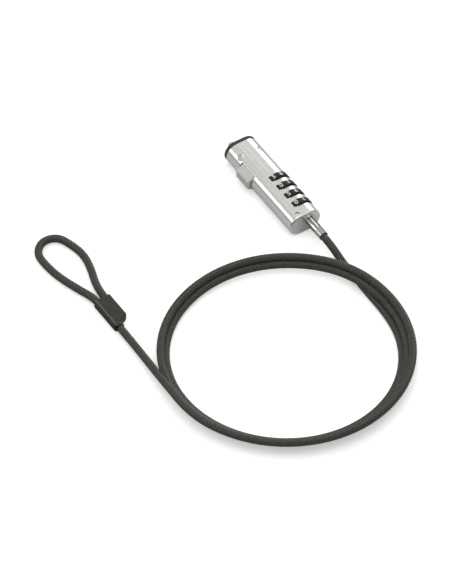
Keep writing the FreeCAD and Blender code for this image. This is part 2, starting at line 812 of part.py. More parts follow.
def make_bar():
    """The turning spindle: crank pin, crank, shaft, neck and the T head that locks in the slot."""
    middle = "body_height / 2"
    shaft_x = "crank_x + crank_width"
    pieces = [
        rod("crank_pin", ALONG_X, ("crank_pin_x", "bar_y + crank_offset", f"{middle} + crank_offset"),
            "crank_pin_radius", "crank_x + crank_width / 2 - crank_pin_x"),
        rod("crank", ALONG_X, ("crank_x", "bar_y", middle), "crank_radius", "crank_width"),
        rod("bar_shaft", ALONG_X, (shaft_x, "bar_y", middle), "bar_shaft_radius",
            "bar_neck_x - crank_x - crank_width"),
        rod("bar_neck", ALONG_X, ("bar_neck_x", "bar_y", middle), "bar_neck_radius",
            "bar_head_x + bar_head_width / 2 - bar_neck_x"),
        box("bar_head", ("bar_head_x", "bar_head_x + bar_head_width"),
            ("bar_y - bar_head_half_depth", "bar_y + bar_head_half_depth"),
            (f"{middle} - bar_head_half_height", f"{middle} + bar_head_half_height")),
    ]
    node(fuse("bar", pieces), "tbar_spindle")


def make_reset():
    """A slotted screw head in the underside, held from inside by its flange."""
    where = ("reset_x", "reset_y")
    pieces = [
        rod("reset_head", ALONG_Z, where + ("reset_sink",), "reset_radius", "wall + part_gap - reset_sink"),
        rod("reset_flange", ALONG_Z, where + ("wall + part_gap",), "reset_flange_radius",
            "reset_flange_width"),
        rod("reset_shank", ALONG_Z, where + ("wall",), "reset_shank_radius", "reset_top_z - wall"),
    ]
    slot = box(
        "reset_slot",
        ("reset_x - reset_radius", "reset_x + reset_radius"),
        ("reset_y - reset_slot_width / 2", "reset_y + reset_slot_width / 2"),
        ("0", "reset_sink + reset_slot_depth"),
    )
    node(cut("reset", fuse("reset_blank", pieces), [slot]), "reset_screw")


# ---------------------------------------------------------------------------------------------
# Cable fitting
# ---------------------------------------------------------------------------------------------
def make_fitting():
    """Round collar, square crimp with cut corners, and the journal that turns in the bush."""
    axis = ("dial_y", "dial_z")
    crimp = box(
        "crimp_block",
        ("crimp_end_x", "crimp_start_x"),
        ("dial_y - crimp_width / 2", "dial_y + crimp_width / 2"),
        ("dial_z - crimp_height / 2", "dial_z + crimp_height / 2"),
    )
    doc.recompute()
    corners = doc.addObject("Part::Chamfer", "crimp_corners")
    corners.Base = crimp
    size = DIMS["crimp_chamfer"]
    corners.Edges = [
        (i, size, size) for i, edge in enumerate(crimp.Shape.Edges, start=1) if edge.BoundBox.XLength > 1
    ]
    collar = rod("collar", ALONG_X, ("collar_end_x",) + axis, "collar_radius", "crimp_end_x - collar_end_x")
    journal = rod("journal", ALONG_X, ("crimp_start_x",) + axis, "journal_radius",
                  "journal_end_x - crimp_start_x")
    socket = rod("cable_socket", ALONG_X, ("collar_end_x",) + axis, "collar_bore", "collar_socket")
    ring = rod("groove_outer", ALONG_X, ("groove_x",) + axis, "journal_radius + wall", "groove_width")
    core = rod("groove_inner", ALONG_X, ("groove_x",) + axis, "groove_radius", "groove_width")
    groove = cut("groove", ring, [core])
    blank = fuse("fitting_blank", [corners, collar, journal])
    node(cut("fitting", blank, [socket, groove]), "swivel_ferrule")

    barrel = rod("bush_barrel", ALONG_X, ("-body_length / 2",) + axis, "bush_radius", "tail_wall")
    flange = rod("bush_flange", ALONG_X, ("-body_length / 2 - bush_flange_width",) + axis,
                 "bush_flange_radius", "bush_flange_width")
    bore = rod("bush_bore_tool", ALONG_X, ("-body_length / 2 - bush_flange_width",) + axis,
               "bush_bore", "tail_wall + bush_flange_width")
    node(cut("bush", fuse("bush_blank", [barrel, flange]), [bore]), "swivel_bush")

    disc = rod("clip_disc", ALONG_X, ("groove_x + part_gap",) + axis, "clip_radius", "clip_width")
    hole = rod("clip_hole", ALONG_X, ("groove_x + part_gap",) + axis, "clip_bore", "clip_width")
    mouth = box(
        "clip_gap",
        ("groove_x", "groove_x + groove_width"),
        ("dial_y - clip_mouth / 2", "dial_y + clip_mouth / 2"),
        ("dial_z - clip_radius - wall", "dial_z"),
    )
    node(cut("clip", disc, [hole, mouth]), "swivel_clip")


# ---------------------------------------------------------------------------------------------
# Cable and loop
# ---------------------------------------------------------------------------------------------
def make_coil():
    """The outer shape of the coil: a ring that leans outwards as its turns climb on each other."""
    radius = DIMS["cable_diameter"] / 2
    low = Vector(DIMS["coil_inner_radius"], 0, radius)
    high = Vector(DIMS["coil_outer_radius"], 0, DIMS["coil_top_z"])
    along = (high - low).normalize()
    outward = Vector(along.z, 0, -along.x) * radius
    edges = [
        Part.LineSegment(low + outward, high + outward).toShape(),
        Part.Arc(high + outward, high + along * radius, high - outward).toShape(),
        Part.LineSegment(high - outward, low - outward).toShape(),
        Part.Arc(low - outward, low - along * radius, low + outward).toShape(),
    ]
    ring = Part.Face(Part.Wire(edges)).revolve(Vector(), Vector(0, 0, 1), 360)
    feature = doc.addObject("Part::Feature", "coil")
    feature.Shape = ring
    feature.Placement = Placement(Vector(DIMS["coil_x"], DIMS["coil_y"], 0), Rotation())
    node(feature, "cable_coil")


def make_loop_crimp():
    """The double-barrel crimp round the loop's two strands, and its black cover."""
    body = new_body("loop_ferrule")
    barrel = new_sketch(body, "barrel_outline", "YZ_Plane", "barrel_tail_x")
    flat = "barrel_width / 2 - barrel_height / 2"
    stadium(barrel, "barrel_height / 2", flat, "lane_y", "lane_z")
    pad(body, barrel, "barrel_length")
    lanes = new_sketch(body, "barrel_lanes", "YZ_Plane", "barrel_tail_x + barrel_length")
    circle(lanes, "lane_y + lane_offset", "lane_z", "lane_bore")
    circle(lanes, "lane_y - lane_offset", "lane_z", "lane_bore")
    pocket(body, lanes, "2 * barrel_length")

    cover = new_body("ferrule_sleeve")
    block = new_sketch(cover, "sleeve_outline", "XY_Plane")
    outline(block, [
        ("sleeve_tail_x", "lane_y - sleeve_width / 2"),
        ("sleeve_tail_x + sleeve_length", "lane_y - sleeve_width / 2"),
        ("sleeve_tail_x + sleeve_length", "lane_y + sleeve_width / 2"),
        ("sleeve_tail_x - sleeve_slant", "lane_y + sleeve_width / 2"),
    ])
    pad(cover, block, "sleeve_height")
    dress(cover, "Fillet", "Radius", "sleeve_round", lambda b: True)
    boss = new_sketch(cover, "sleeve_boss", "YZ_Plane", "sleeve_tail_x - boss_length")
    circle(boss, "lane_y + lane_offset", "lane_z", "boss_radius")
    pad(cover, boss, "boss_length + boss_root")
    lip = new_sketch(cover, "sleeve_lip", "YZ_Plane", "sleeve_tail_x - boss_length - sleeve_lip_width")
    circle(lip, "lane_y + lane_offset", "lane_z", "sleeve_lip_radius")
    pad(cover, lip, "2 * sleeve_lip_width")
    room = new_sketch(cover, "barrel_room", "YZ_Plane", "barrel_tail_x + barrel_length + part_gap")
    stadium(room, "barrel_height / 2 + part_gap", flat, "lane_y", "lane_z")
    pocket(cover, room, "barrel_length + 2 * part_gap")
    through = new_sketch(cover, "main_lane", "YZ_Plane", "sleeve_tail_x + sleeve_length")
    circle(through, "lane_y + lane_offset", "lane_z", "lane_bore")
    pocket(cover, through, "2 * sleeve_length")
    dead_end = new_sketch(cover, "return_lane", "YZ_Plane", "sleeve_tail_x + sleeve_length")
    circle(dead_end, "lane_y - lane_offset", "lane_z", "lane_bore")
    pocket(cover, dead_end, "sleeve_length / 2")


# ---------------------------------------------------------------------------------------------
# Build, check and write
# ---------------------------------------------------------------------------------------------
make_housing()
make_core()
make_core_pins()
make_bumper()
make_prongs()
make_plates()
make_arbor()
make_spacers()
make_detent()
for number in range(DIMS["dial_count"]):
    make_dial(number)
    make_hub(number)
make_button()
make_comb()
make_spring()
make_bar()
make_reset()
make_fitting()
make_coil()
tube("cable_lead", LEAD_ROUTE)
tube("cable_tail", TAIL_ROUTE)
tube("cable_loop", LOOP_ROUTE)
make_loop_crimp()
doc.recompute()

failed = [thing.Name for thing in doc.Objects if {"Invalid", "Error"} & set(thing.State)]
if failed:
    raise RuntimeError(f"did not compute: {failed}")
for thing in NODES:
    if thing.Shape.isNull() or not thing.Shape.isValid():
        raise RuntimeError(f"{thing.Label} has no valid shape")

os.makedirs("parts", exist_ok=True)
for thing in NODES:
    thing.Shape.exportStep(f"parts/{thing.Label}.step")
    print(f"{thing.Label:16s} solids {len(thing.Shape.Solids)} volume {thing.Shape.Volume:9.2f}")
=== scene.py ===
"""Looks of the laptop cable lock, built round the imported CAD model.

Everything is in metres in the model's own frame: +X from the cable end to the laptop end, +Y to the
button, +Z up, with the origin under the middle of the housing.
"""
import json
import math

import bmesh
import bpy
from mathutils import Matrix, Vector


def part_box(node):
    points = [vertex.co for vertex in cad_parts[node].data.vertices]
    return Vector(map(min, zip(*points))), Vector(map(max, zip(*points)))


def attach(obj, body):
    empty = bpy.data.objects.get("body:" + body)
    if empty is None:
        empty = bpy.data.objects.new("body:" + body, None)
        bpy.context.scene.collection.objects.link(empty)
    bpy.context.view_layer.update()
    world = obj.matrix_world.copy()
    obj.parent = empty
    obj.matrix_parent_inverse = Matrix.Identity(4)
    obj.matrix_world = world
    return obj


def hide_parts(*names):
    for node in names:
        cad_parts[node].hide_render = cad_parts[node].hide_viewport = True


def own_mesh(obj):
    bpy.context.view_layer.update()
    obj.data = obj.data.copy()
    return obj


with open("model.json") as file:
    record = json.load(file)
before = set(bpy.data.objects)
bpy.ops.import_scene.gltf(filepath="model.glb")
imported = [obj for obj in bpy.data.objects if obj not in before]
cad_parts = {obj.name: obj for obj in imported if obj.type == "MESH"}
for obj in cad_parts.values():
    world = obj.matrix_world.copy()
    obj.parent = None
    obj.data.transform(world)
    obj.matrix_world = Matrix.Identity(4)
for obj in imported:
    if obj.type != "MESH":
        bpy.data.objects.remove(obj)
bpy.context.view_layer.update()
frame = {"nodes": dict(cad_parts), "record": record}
NODES = frame["nodes"]

MM = 0.001
UP = Vector((0, 0, 1))

# ---------------------------------------------------------------------------------------------
# The cable. Its lead, tail and loop repeat part.py's points, and the coil between them is a formula.
# Lengths are in millimetres, angles in degrees, and places along the coil in turns.
# ---------------------------------------------------------------------------------------------
CABLE_DIAMETER = 4.2
LEAD_ROUTE = [
    (-43.2, -2.5, 7.80),
    (-53.5, -2.6, 7.70),
    (-66.5, -3.3, 2.14),
    (-78.0, -3.5, 2.10),
    (-89.0, -3.0, 2.12),
]
TAIL_ROUTE = [
    (-111.4, 129.7, 8.00),
    (-97.0, 129.0, 7.20),
    (-82.0, 127.9, 5.40),
    (-67.5, 126.6, 3.60),
    (-54.0, 125.8, 2.75),
    (-41.0, 125.7, 2.80),
    (-28.0, 125.7, 2.80),
]
LOOP_ROUTE = [
    (-14.5, 125.7, 2.80),
    (-3.2, 129.4, 2.22),
    (10.5, 133.6, 2.10),
    (22.0, 135.0, 2.12),
    (31.8, 134.5, 2.10),
    (38.2, 127.6, 2.10),
    (36.4, 118.6, 2.10),
    (28.3, 115.2, 2.12),
    (17.6, 113.1, 2.10),
    (6.5, 115.3, 2.12),
    (-3.8, 119.1, 2.22),
    (-14.5, 121.0, 2.80),
    (-28.0, 121.0, 2.80),
]
# the coil winds clockwise and outwards, and is slightly oval
COIL_CENTRE = (-105.2, 60.3)
COIL_START_ANGLE = -60.7
COIL_FIRST_TURN = 0.09
COIL_LAST_TURN = 2.53
COIL_RADIUS = 62.7
COIL_STEP_OUT = 2.9
COIL_OVAL = 0.8
COIL_OVAL_ANGLE = 38.0
COIL_REST_Z = 2.1
# each turn climbs onto the one before it, a little before it is complete
CLIMB_HEIGHT = 2.95
CLIMB_LEAD = 0.30
CLIMB_SPAN = 0.28
# and it is raised a little more where it crosses the lead
CROSSING_RISE = 1.5
CROSSING_LAG = 0.02
CROSSING_REACH = 0.09
POINTS_PER_TURN = 24
CURVE_RESOLUTION = 24

STRANDS = 8
# the length in which a strand goes once round the cable
STRAND_LAY = 13.6
# how far a strand stands out of the cable's round, how deep the valley beside it is, and its crown's shape
STRAND_CROWN = 0.15
STRAND_VALLEY = 0.28
STRAND_POWER = 0.8
FACETS_PER_STRAND = 4
RING_SPACING = 0.56


def smooth_step(x):
    """Rises from 0 to 1 as x does, with level ends."""
    x = min(max(x, 0.0), 1.0)
    return x * x * (3 - 2 * x)


def bell(x):
    """1 at x = 0, falling to 0 at x = -1 and x = 1."""
    return max(0.0, 1 - x * x) ** 2


def coil_points():
    """Turns that lean outwards, each one beside and above the last, raised where they cross the lead."""
    # a quadratic spline runs this much inside its control points
    inside = (3 + math.cos(2 * math.pi / POINTS_PER_TURN)) / 4
    count = round((COIL_LAST_TURN - COIL_FIRST_TURN) * POINTS_PER_TURN)
    points = []
    for i in range(count + 1):
        turn = COIL_FIRST_TURN + (COIL_LAST_TURN - COIL_FIRST_TURN) * i / count
        angle = math.radians(COIL_START_ANGLE - 360 * turn)
        oval = COIL_OVAL * math.cos(2 * (angle - math.radians(COIL_OVAL_ANGLE)))
        radius = (COIL_RADIUS + COIL_STEP_OUT * turn + oval) / inside
        height = COIL_REST_Z
        for lap in range(1, math.ceil(COIL_LAST_TURN)):
            height += CLIMB_HEIGHT * smooth_step((turn - lap + CLIMB_LEAD) / CLIMB_SPAN)
            height += CROSSING_RISE * bell((turn - lap - CROSSING_LAG) / CROSSING_REACH)
        points.append((
            COIL_CENTRE[0] + radius * math.cos(angle),
            COIL_CENTRE[1] + radius * math.sin(angle),
            height,
        ))
    return points


def smooth_line(name, route):
    """The points that one NURBS curve through the route's control points passes, in metres."""
    curve = bpy.data.curves.new(name, "CURVE")
    curve.dimensions = "3D"
    curve.resolution_u = CURVE_RESOLUTION
    spline = curve.splines.new("NURBS")
    spline.points.add(len(route) - 1)
    for point, place in zip(spline.points, route):
        point.co = (*(c * MM for c in place), 1)
    spline.order_u = 3
    spline.use_endpoint_u = True
    holder = bpy.data.objects.new(name, curve)
    bpy.context.scene.collection.objects.link(holder)
    bpy.context.view_layer.update()
    mesh = bpy.data.meshes.new_from_object(holder)
    line = [vertex.co.copy() for vertex in mesh.vertices]
    bpy.data.objects.remove(holder)
    bpy.data.meshes.remove(mesh)
    return line


def even_points(line, spacing):
    """The same line with its points evenly spaced, and its length."""
    lengths = [0.0]
    for a, b in zip(line, line[1:]):
        lengths.append(lengths[-1] + (b - a).length)
    count = round(lengths[-1] / spacing)
    points = []
    segment = 0
    for i in range(count + 1):
        along = lengths[-1] * i / count
        while segment < len(line) - 2 and lengths[segment + 1] < along:
            segment += 1
        share = (along - lengths[segment]) / max(lengths[segment + 1] - lengths[segment], 1e-12)
        points.append(line[segment].lerp(line[segment + 1], min(share, 1.0)))
    return points, lengths[-1]


def strand_tube(name, path, length):
    """A round cable along the path whose surface shows its twisted outer strands.

    Its UV map counts strands round the cable in U, and millimetres along it in V.
    """
    around = FACETS_PER_STRAND * STRANDS
    step = length / (len(path) - 1)
    mesh = bpy.data.meshes.new(name)
    vertices = []
    side = None
    for i, centre in enumerate(path):
        ahead = (path[min(i + 1, len(path) - 1)] - path[max(i - 1, 0)]).normalized()
        if side is None:
            side = ahead.cross(UP).normalized()
        side = (side - ahead * side.dot(ahead)).normalized()
        other = ahead.cross(side)
        twist = 2 * math.pi * i * step / (STRAND_LAY * MM)
        for j in range(around):
            crown = abs(math.cos(math.pi * j / FACETS_PER_STRAND)) ** STRAND_POWER
            radius = (CABLE_DIAMETER / 2 + STRAND_CROWN - STRAND_VALLEY * (1 - crown)) * MM
            angle = twist + 2 * math.pi * j / around
            vertices.append(centre + side * radius * math.cos(angle) + other * radius * math.sin(angle))
    faces = []
    for i in range(len(path) - 1):
        for j in range(around):
            k = (j + 1) % around
            faces.append((i * around + j, i * around + k, (i + 1) * around + k, (i + 1) * around + j))
    last = (len(path) - 1) * around
    faces.append(tuple(reversed(range(around))))
    faces.append(tuple(last + j for j in range(around)))
    mesh.from_pydata(vertices, [], faces)
    mesh.update()
    layer = mesh.uv_layers.new(name="strands")
    for polygon in mesh.polygons:
        wraps = polygon.index % around == around - 1
        for loop in polygon.loop_indices:
            ring, j = divmod(mesh.loops[loop].vertex_index, around)
            turned = around if wraps and j == 0 else j
            layer.data[loop].uv = (turned / FACETS_PER_STRAND, ring * step / MM)
    for polygon in mesh.polygons:
        polygon.use_smooth = len(polygon.vertices) == 4
    tube = bpy.data.objects.new(name, mesh)
    bpy.context.scene.collection.objects.link(tube)
    return tube


def make_cable():
    """The whole cable in one piece, from the swivelling fitting to the end of the loop."""
    route = LEAD_ROUTE + coil_points() + TAIL_ROUTE + LOOP_ROUTE
    path, length = even_points(smooth_line("cable_line", route), RING_SPACING * MM)
    cable = strand_tube("steel_cable", path, length)
    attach(cable, "root")
    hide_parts("cable_lead", "cable_coil", "cable_tail", "cable_loop")
    cable.data.materials.append(MATERIALS["cable_jacket"])


# ---------------------------------------------------------------------------------------------
# Numerals round the dials, in millimetres
# ---------------------------------------------------------------------------------------------
DIGITS = 10
DIGIT_SIZE = 3.9
DIGIT_LIFT = 0.02
DIGIT_THICKNESS = 0.03
DIGIT_RESOLUTION = 4
# the width of the strips that let a flat numeral bend round its dial
BEND_STEP = 0.25
# the first numeral stands this share of a step from the top, towards the button
FIRST_PLACE = 0.5
# the digit beside the mark on each dial, from the tail
SHOWN_DIGITS = (0, 5, 0, 5)


def digit_mesh(digit):
    """A numeral as a thin flat mesh, centred on the origin, cut into narrow strips so that it can bend."""
    text = bpy.data.curves.new(f"digit_{digit}", "FONT")
    text.body = str(digit)
    text.size = DIGIT_SIZE
    text.align_x = "CENTER"
    text.extrude = DIGIT_THICKNESS / 2
    text.resolution_u = DIGIT_RESOLUTION
    holder = bpy.data.objects.new(text.name, text)
    bpy.context.scene.collection.objects.link(holder)
    bpy.context.view_layer.update()
    mesh = bpy.data.meshes.new_from_object(holder)
    bpy.data.objects.remove(holder)
    low = [min(v.co[i] for v in mesh.vertices) for i in range(2)]
    high = [max(v.co[i] for v in mesh.vertices) for i in range(2)]
    middle = Vector(((low[0] + high[0]) / 2, (low[1] + high[1]) / 2, 0))
    work = bmesh.new()
    work.from_mesh(mesh)
    bpy.data.meshes.remove(mesh)
    bmesh.ops.translate(work, verts=work.verts, vec=-middle)
    cuts = int((high[0] - low[0]) / 2 / BEND_STEP)
    for i in range(-cuts, cuts + 1):
        bmesh.ops.bisect_plane(
            work,
            geom=work.verts[:] + work.edges[:] + work.faces[:],
            plane_co=(i * BEND_STEP, 0, 0),
            plane_no=(1, 0, 0),
        )
    return work


def make_numerals():
    """Ten white numerals round each dial, upright towards the nose."""
    flat_digits = [digit_mesh(digit) for digit in range(DIGITS)]
    for number, shown in enumerate(SHOWN_DIGITS, start=1):
        low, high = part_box(f"dial_{number}")
        centre = (low + high) / 2
        radius = (high.z - low.z) / 2 + DIGIT_LIFT * MM
        work = bmesh.new()
        for place in range(DIGITS):
            digit = (shown + place) % DIGITS
            # from the button's side of the top, going over to the far side
            at = math.radians(360 / DIGITS * (FIRST_PLACE - place))
            sheet = flat_digits[digit]
            moved = {}
            for vertex in sheet.verts:
                angle = at - vertex.co.x * MM / radius
                out = radius + (vertex.co.z + DIGIT_THICKNESS / 2) * MM
                moved[vertex] = work.verts.new((
                    centre.x + vertex.co.y * MM,
                    centre.y + out * math.sin(angle),
                    centre.z + out * math.cos(angle),
                ))
            for face in sheet.faces:
                work.faces.new([moved[vertex] for vertex in face.verts])
        mesh = bpy.data.meshes.new(f"numerals_{number}")
        work.to_mesh(mesh)
        work.free()
        numerals = bpy.data.objects.new(mesh.name, mesh)
        bpy.context.scene.collection.objects.link(numerals)
        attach(numerals, f"dial_{number}")
        mesh.materials.append(MATERIALS["digit_white"])
    for sheet in flat_digits:
        sheet.free()


# ---------------------------------------------------------------------------------------------
# Materials. Noise scales count grains per metre, and depths and edge roundings are in millimetres.
# ---------------------------------------------------------------------------------------------
BEVEL_SAMPLES = 6


def new_material(name, **settings):
    """A Principled material and its node tree. settings are values of the shader's own sockets."""
    material = bpy.data.materials.new(name)
    material.use_nodes = True
    tree = material.node_tree
    shader = tree.nodes["Principled BSDF"]
    for socket, value in settings.items():
        shader.inputs[socket.replace("_", " ")].default_value = value
    return material, tree, shader


def add(tree, kind, **values):
    """A node whose input sockets take values or links."""
    node = tree.nodes.new(kind)
    for socket, value in values.items():
        target = node.inputs[socket.replace("_", " ")]
        if isinstance(value, bpy.types.NodeSocket):
            tree.links.new(value, target)
        else:
            target.default_value = value
    return node


def noise(tree, scale, detail=2, stretch=(1, 1, 1)):
    """A 0 to 1 noise over the surface. Its grains are longer along an axis with a stretch below 1."""
    source = tree.nodes.new("ShaderNodeTexCoord")
    mapping = add(tree, "ShaderNodeMapping", Vector=source.outputs["Object"], Scale=stretch)
    vector = mapping.outputs["Vector"]
    return add(tree, "ShaderNodeTexNoise", Vector=vector, Scale=scale, Detail=detail).outputs["Fac"]


def math_node(tree, operation, first, second=0.0):
    """A Math node's result. Each operand is a number or a link."""
    node = tree.nodes.new("ShaderNodeMath")
    node.operation = operation
    for socket, value in zip(node.inputs, (first, second)):
        if isinstance(value, bpy.types.NodeSocket):
            tree.links.new(value, socket)
        else:
            socket.default_value = value
    return node.outputs[0]


def spread(tree, factor, low, high, start=0.3, end=0.7):
    """Maps a 0 to 1 factor onto a range of values."""
    node = tree.nodes.new("ShaderNodeMapRange")
    tree.links.new(factor, node.inputs["Value"])
    for socket, value in (("From Min", start), ("From Max", end), ("To Min", low), ("To Max", high)):
        node.inputs[socket].default_value = value
    return node.outputs["Result"]


def blend(tree, factor, first, second):
    """A mix of two colours, each a triple or a link."""
    node = tree.nodes.new("ShaderNodeMix")
    node.data_type = "RGBA"
    tree.links.new(factor, node.inputs["Factor"])
    for socket, value in ((node.inputs[6], first), (node.inputs[7], second)):
        if isinstance(value, bpy.types.NodeSocket):
            tree.links.new(value, socket)
        else:
            socket.default_value = (*value, 1)
    return node.outputs[2]


def relief(tree, shader, height, depth, strength=1.0, edge=0.0):
    """Bump of a real depth in millimetres, with edges rounded by a small radius."""
    bump = add(tree, "ShaderNodeBump", Height=height, Strength=strength, Distance=depth * MM)
    if edge:
        rounding = tree.nodes.new("ShaderNodeBevel")
        rounding.samples = BEVEL_SAMPLES
        rounding.inputs["Radius"].default_value = edge * MM
        tree.links.new(rounding.outputs["Normal"], bump.inputs["Normal"])
    tree.links.new(bump.outputs["Normal"], shader.inputs["Normal"])


def darker(colour, share):
    """The colour at a share of its brightness."""
    return tuple(c * share for c in colour)


def inside_box(tree, low, high):
    """1 inside a box given in millimetres of the model's frame, and 0 elsewhere."""
    source = tree.nodes.new("ShaderNodeTexCoord")
    parts = add(tree, "ShaderNodeSeparateXYZ", Vector=source.outputs["Object"])
    mask = 1.0
    for axis, start, end in zip("XYZ", low, high):
        above = math_node(tree, "GREATER_THAN", parts.outputs[axis], start * MM)
        below = math_node(tree, "LESS_THAN", parts.outputs[axis], end * MM)
        mask = math_node(tree, "MULTIPLY", mask, math_node(tree, "MULTIPLY", above, below))
    return mask


def patched(tree, shader, tone, patches):
    """Recolours the inside of boxes. A patch is two corners in millimetres, a colour and a loss of metal."""
    metallic = 1.0
    for low, high, colour, loss in patches:
        mask = inside_box(tree, low, high)
        tone = blend(tree, mask, tone, colour)
        if loss:
            metallic = math_node(tree, "SUBTRACT", metallic, math_node(tree, "MULTIPLY", mask, loss))
            tree.links.new(metallic, shader.inputs["Metallic"])
    tree.links.new(tone, shader.inputs["Base Color"])


def satin_metal(name, colour, roughness, edge=0.15, patches=()):
    """Satin metal with soft streaks along X and a fine grain."""
    material, tree, shader = new_material(name, Metallic=1.0)
    streaks = noise(tree, scale=300, detail=3, stretch=(0.03, 1, 1))
    grain = noise(tree, scale=4000)
    tone = blend(tree, spread(tree, streaks, 0.0, 1.0), darker(colour, 0.86), colour)
    patched(tree, shader, tone, patches)
    tree.links.new(spread(tree, grain, roughness * 1.12, roughness * 0.9), shader.inputs["Roughness"])
    relief(tree, shader, grain, depth=0.0001, edge=edge)
    return material


def brushed_metal(name, colour, roughness, edge=0.12):
    """Fine parallel scratches along X."""
    material, tree, shader = new_material(name, Metallic=1.0)
    scratches = noise(tree, scale=6000, detail=3, stretch=(0.02, 1, 1))
    tree.links.new(blend(tree, scratches, darker(colour, 0.80), colour), shader.inputs["Base Color"])
    tree.links.new(spread(tree, scratches, roughness * 1.25, roughness * 0.8), shader.inputs["Roughness"])
    relief(tree, shader, scratches, depth=0.004, edge=edge)
    return material


def polished_metal(name, colour, roughness, patches=()):
    """Bright plating with faint smears."""
    material, tree, shader = new_material(name, Metallic=1.0)
    smears = noise(tree, scale=250, detail=4, stretch=(0.3, 1, 1))
    tone = blend(tree, smears, darker(colour, 0.88), colour)
    patched(tree, shader, tone, patches)
    tree.links.new(spread(tree, smears, roughness * 1.4, roughness * 0.7), shader.inputs["Roughness"])
    relief(tree, shader, noise(tree, scale=4000), depth=0.0003, edge=0.1)
    return material


def turned_metal(name, colour, roughness):
    """Fine rings left by a lathe, square to the lock's long axis."""
    material, tree, shader = new_material(name, Metallic=1.0)
    rings = noise(tree, scale=9000, stretch=(1, 0.01, 0.01))
    tree.links.new(blend(tree, rings, darker(colour, 0.82), colour), shader.inputs["Base Color"])
    tree.links.new(spread(tree, rings, roughness * 1.2, roughness * 0.8), shader.inputs["Roughness"])
    relief(tree, shader, rings, depth=0.004, edge=0.06)
    return material


def cast_metal(name, colour, roughness):
    """Die-cast metal with a slightly pebbled skin."""
    material, tree, shader = new_material(name, Metallic=1.0)
    skin = noise(tree, scale=1500, detail=4)
    tree.links.new(blend(tree, skin, darker(colour, 0.8), colour), shader.inputs["Base Color"])
    tree.links.new(spread(tree, skin, roughness * 1.2, roughness * 0.85), shader.inputs["Roughness"])
    relief(tree, shader, skin, depth=0.02, edge=0.1)
    return material


def moulded(name, colour, roughness, pores, depth, edge=0.1, shine=0.5, patches=()):
    """Moulded plastic or rubber with a fine pored skin."""
    material, tree, shader = new_material(name, Specular_IOR_Level=shine)
    skin = noise(tree, scale=pores, detail=4)
    mottle = noise(tree, scale=120, detail=3)
    pale = tuple(min(c * 1.35, 1) for c in colour)
    patched(tree, shader, blend(tree, mottle, colour, pale), patches)
    tree.links.new(spread(tree, skin, roughness * 1.12, roughness * 0.88), shader.inputs["Roughness"])
    relief(tree, shader, skin, depth, edge=edge)
    return material


WIRES_PER_STRAND = 3.0
WIRES_PER_MM = 1.1


def ridge(tree, count):
    """1 on each crown, where the count is whole, and 0 in the valley halfway between two crowns."""
    return math_node(tree, "ABSOLUTE", math_node(tree, "COSINE", math_node(tree, "MULTIPLY", count, math.pi)))


def cable_jacket():
    """A satin jacket over twisted strands, with a painted highlight on each strand's crown, painted shade in
    the valleys between them, and fine wires across them.
    """
    material, tree, shader = new_material("cable_jacket", Specular_IOR_Level=0.22)
    source = tree.nodes.new("ShaderNodeTexCoord")
    parts = add(tree, "ShaderNodeSeparateXYZ", Vector=source.outputs["UV"])
    strand, along = parts.outputs["X"], parts.outputs["Y"]
    crown = ridge(tree, strand)
    across = math_node(tree, "MULTIPLY", strand, WIRES_PER_STRAND)
    wire = ridge(tree, math_node(tree, "ADD", across, math_node(tree, "MULTIPLY", along, WIRES_PER_MM)))
    mottle = noise(tree, scale=500, detail=3)
    shade = math_node(tree, "MULTIPLY", crown, spread(tree, wire, 0.8, 1.0, 0.0, 1.0))
    shade = math_node(tree, "MULTIPLY", shade, spread(tree, mottle, 0.8, 1.15))
    # painted shade, near black, in the valleys between strands, and a painted highlight on each strand's
    # crown
    colour = blend(tree, shade, (0.001, 0.001, 0.001), (0.090, 0.090, 0.072))
    tree.links.new(colour, shader.inputs["Base Color"])
    tree.links.new(spread(tree, mottle, 0.36, 0.28), shader.inputs["Roughness"])
    relief(tree, shader, wire, depth=0.02, strength=0.4)
    return material


# Patches, as patched() takes them: the index mark made darker on its floor and the foot of its walls
MARK_DARKENING = (
    ((-31.3, 1.5, 13.6), (-28.0, 3.4, 13.95), (0.05, 0.05, 0.046), 1.0),
    ((-31.3, 3.4, 13.6), (-28.0, 4.75, 13.76), (0.05, 0.05, 0.046), 1.0),
)
# the collar behind the crimp, with painted shade on its -Y side; painted shade on the crimp's flank and in
# its groove; and a painted highlight on each of the crimp's two rails, as a pale strip with less metal
FITTING_TONES_AND_PAINTED_LIGHT = (
    ((-47.5, -2.7, 4.0), (-41.45, 1.0, 12.0), (0.46, 0.46, 0.44), 0.0),
    ((-47.5, -6.0, 4.0), (-41.45, -2.7, 12.0), (0.15, 0.15, 0.14), 0.0),
    ((-41.4, -5.0, 4.0), (-33.2, -3.25, 10.5), (0.13, 0.13, 0.10), 0.0),
    ((-41.4, -1.15, 9.35), (-33.2, -0.90, 10.5), (0.12, 0.12, 0.09), 0.0),
    ((-41.4, -0.90, 9.35), (-33.2, -0.20, 10.5), (0.93, 0.93, 0.90), 0.7),
    ((-41.4, -3.25, 9.35), (-33.2, -2.40, 10.5), (0.93, 0.93, 0.90), 0.7),
)
# painted shade over the sleeve's lower side, and a painted highlight along its long top edge
SLEEVE_PAINTED_LIGHT = (
    ((-42.0, 126.6, -1.0), (-16.0, 130.0, 5.0), (0.001, 0.001, 0.001), 0.0),
    ((-41.0, 127.0, 5.0), (-16.0, 127.9, 6.0), (0.105, 0.105, 0.090), 0.0),
)

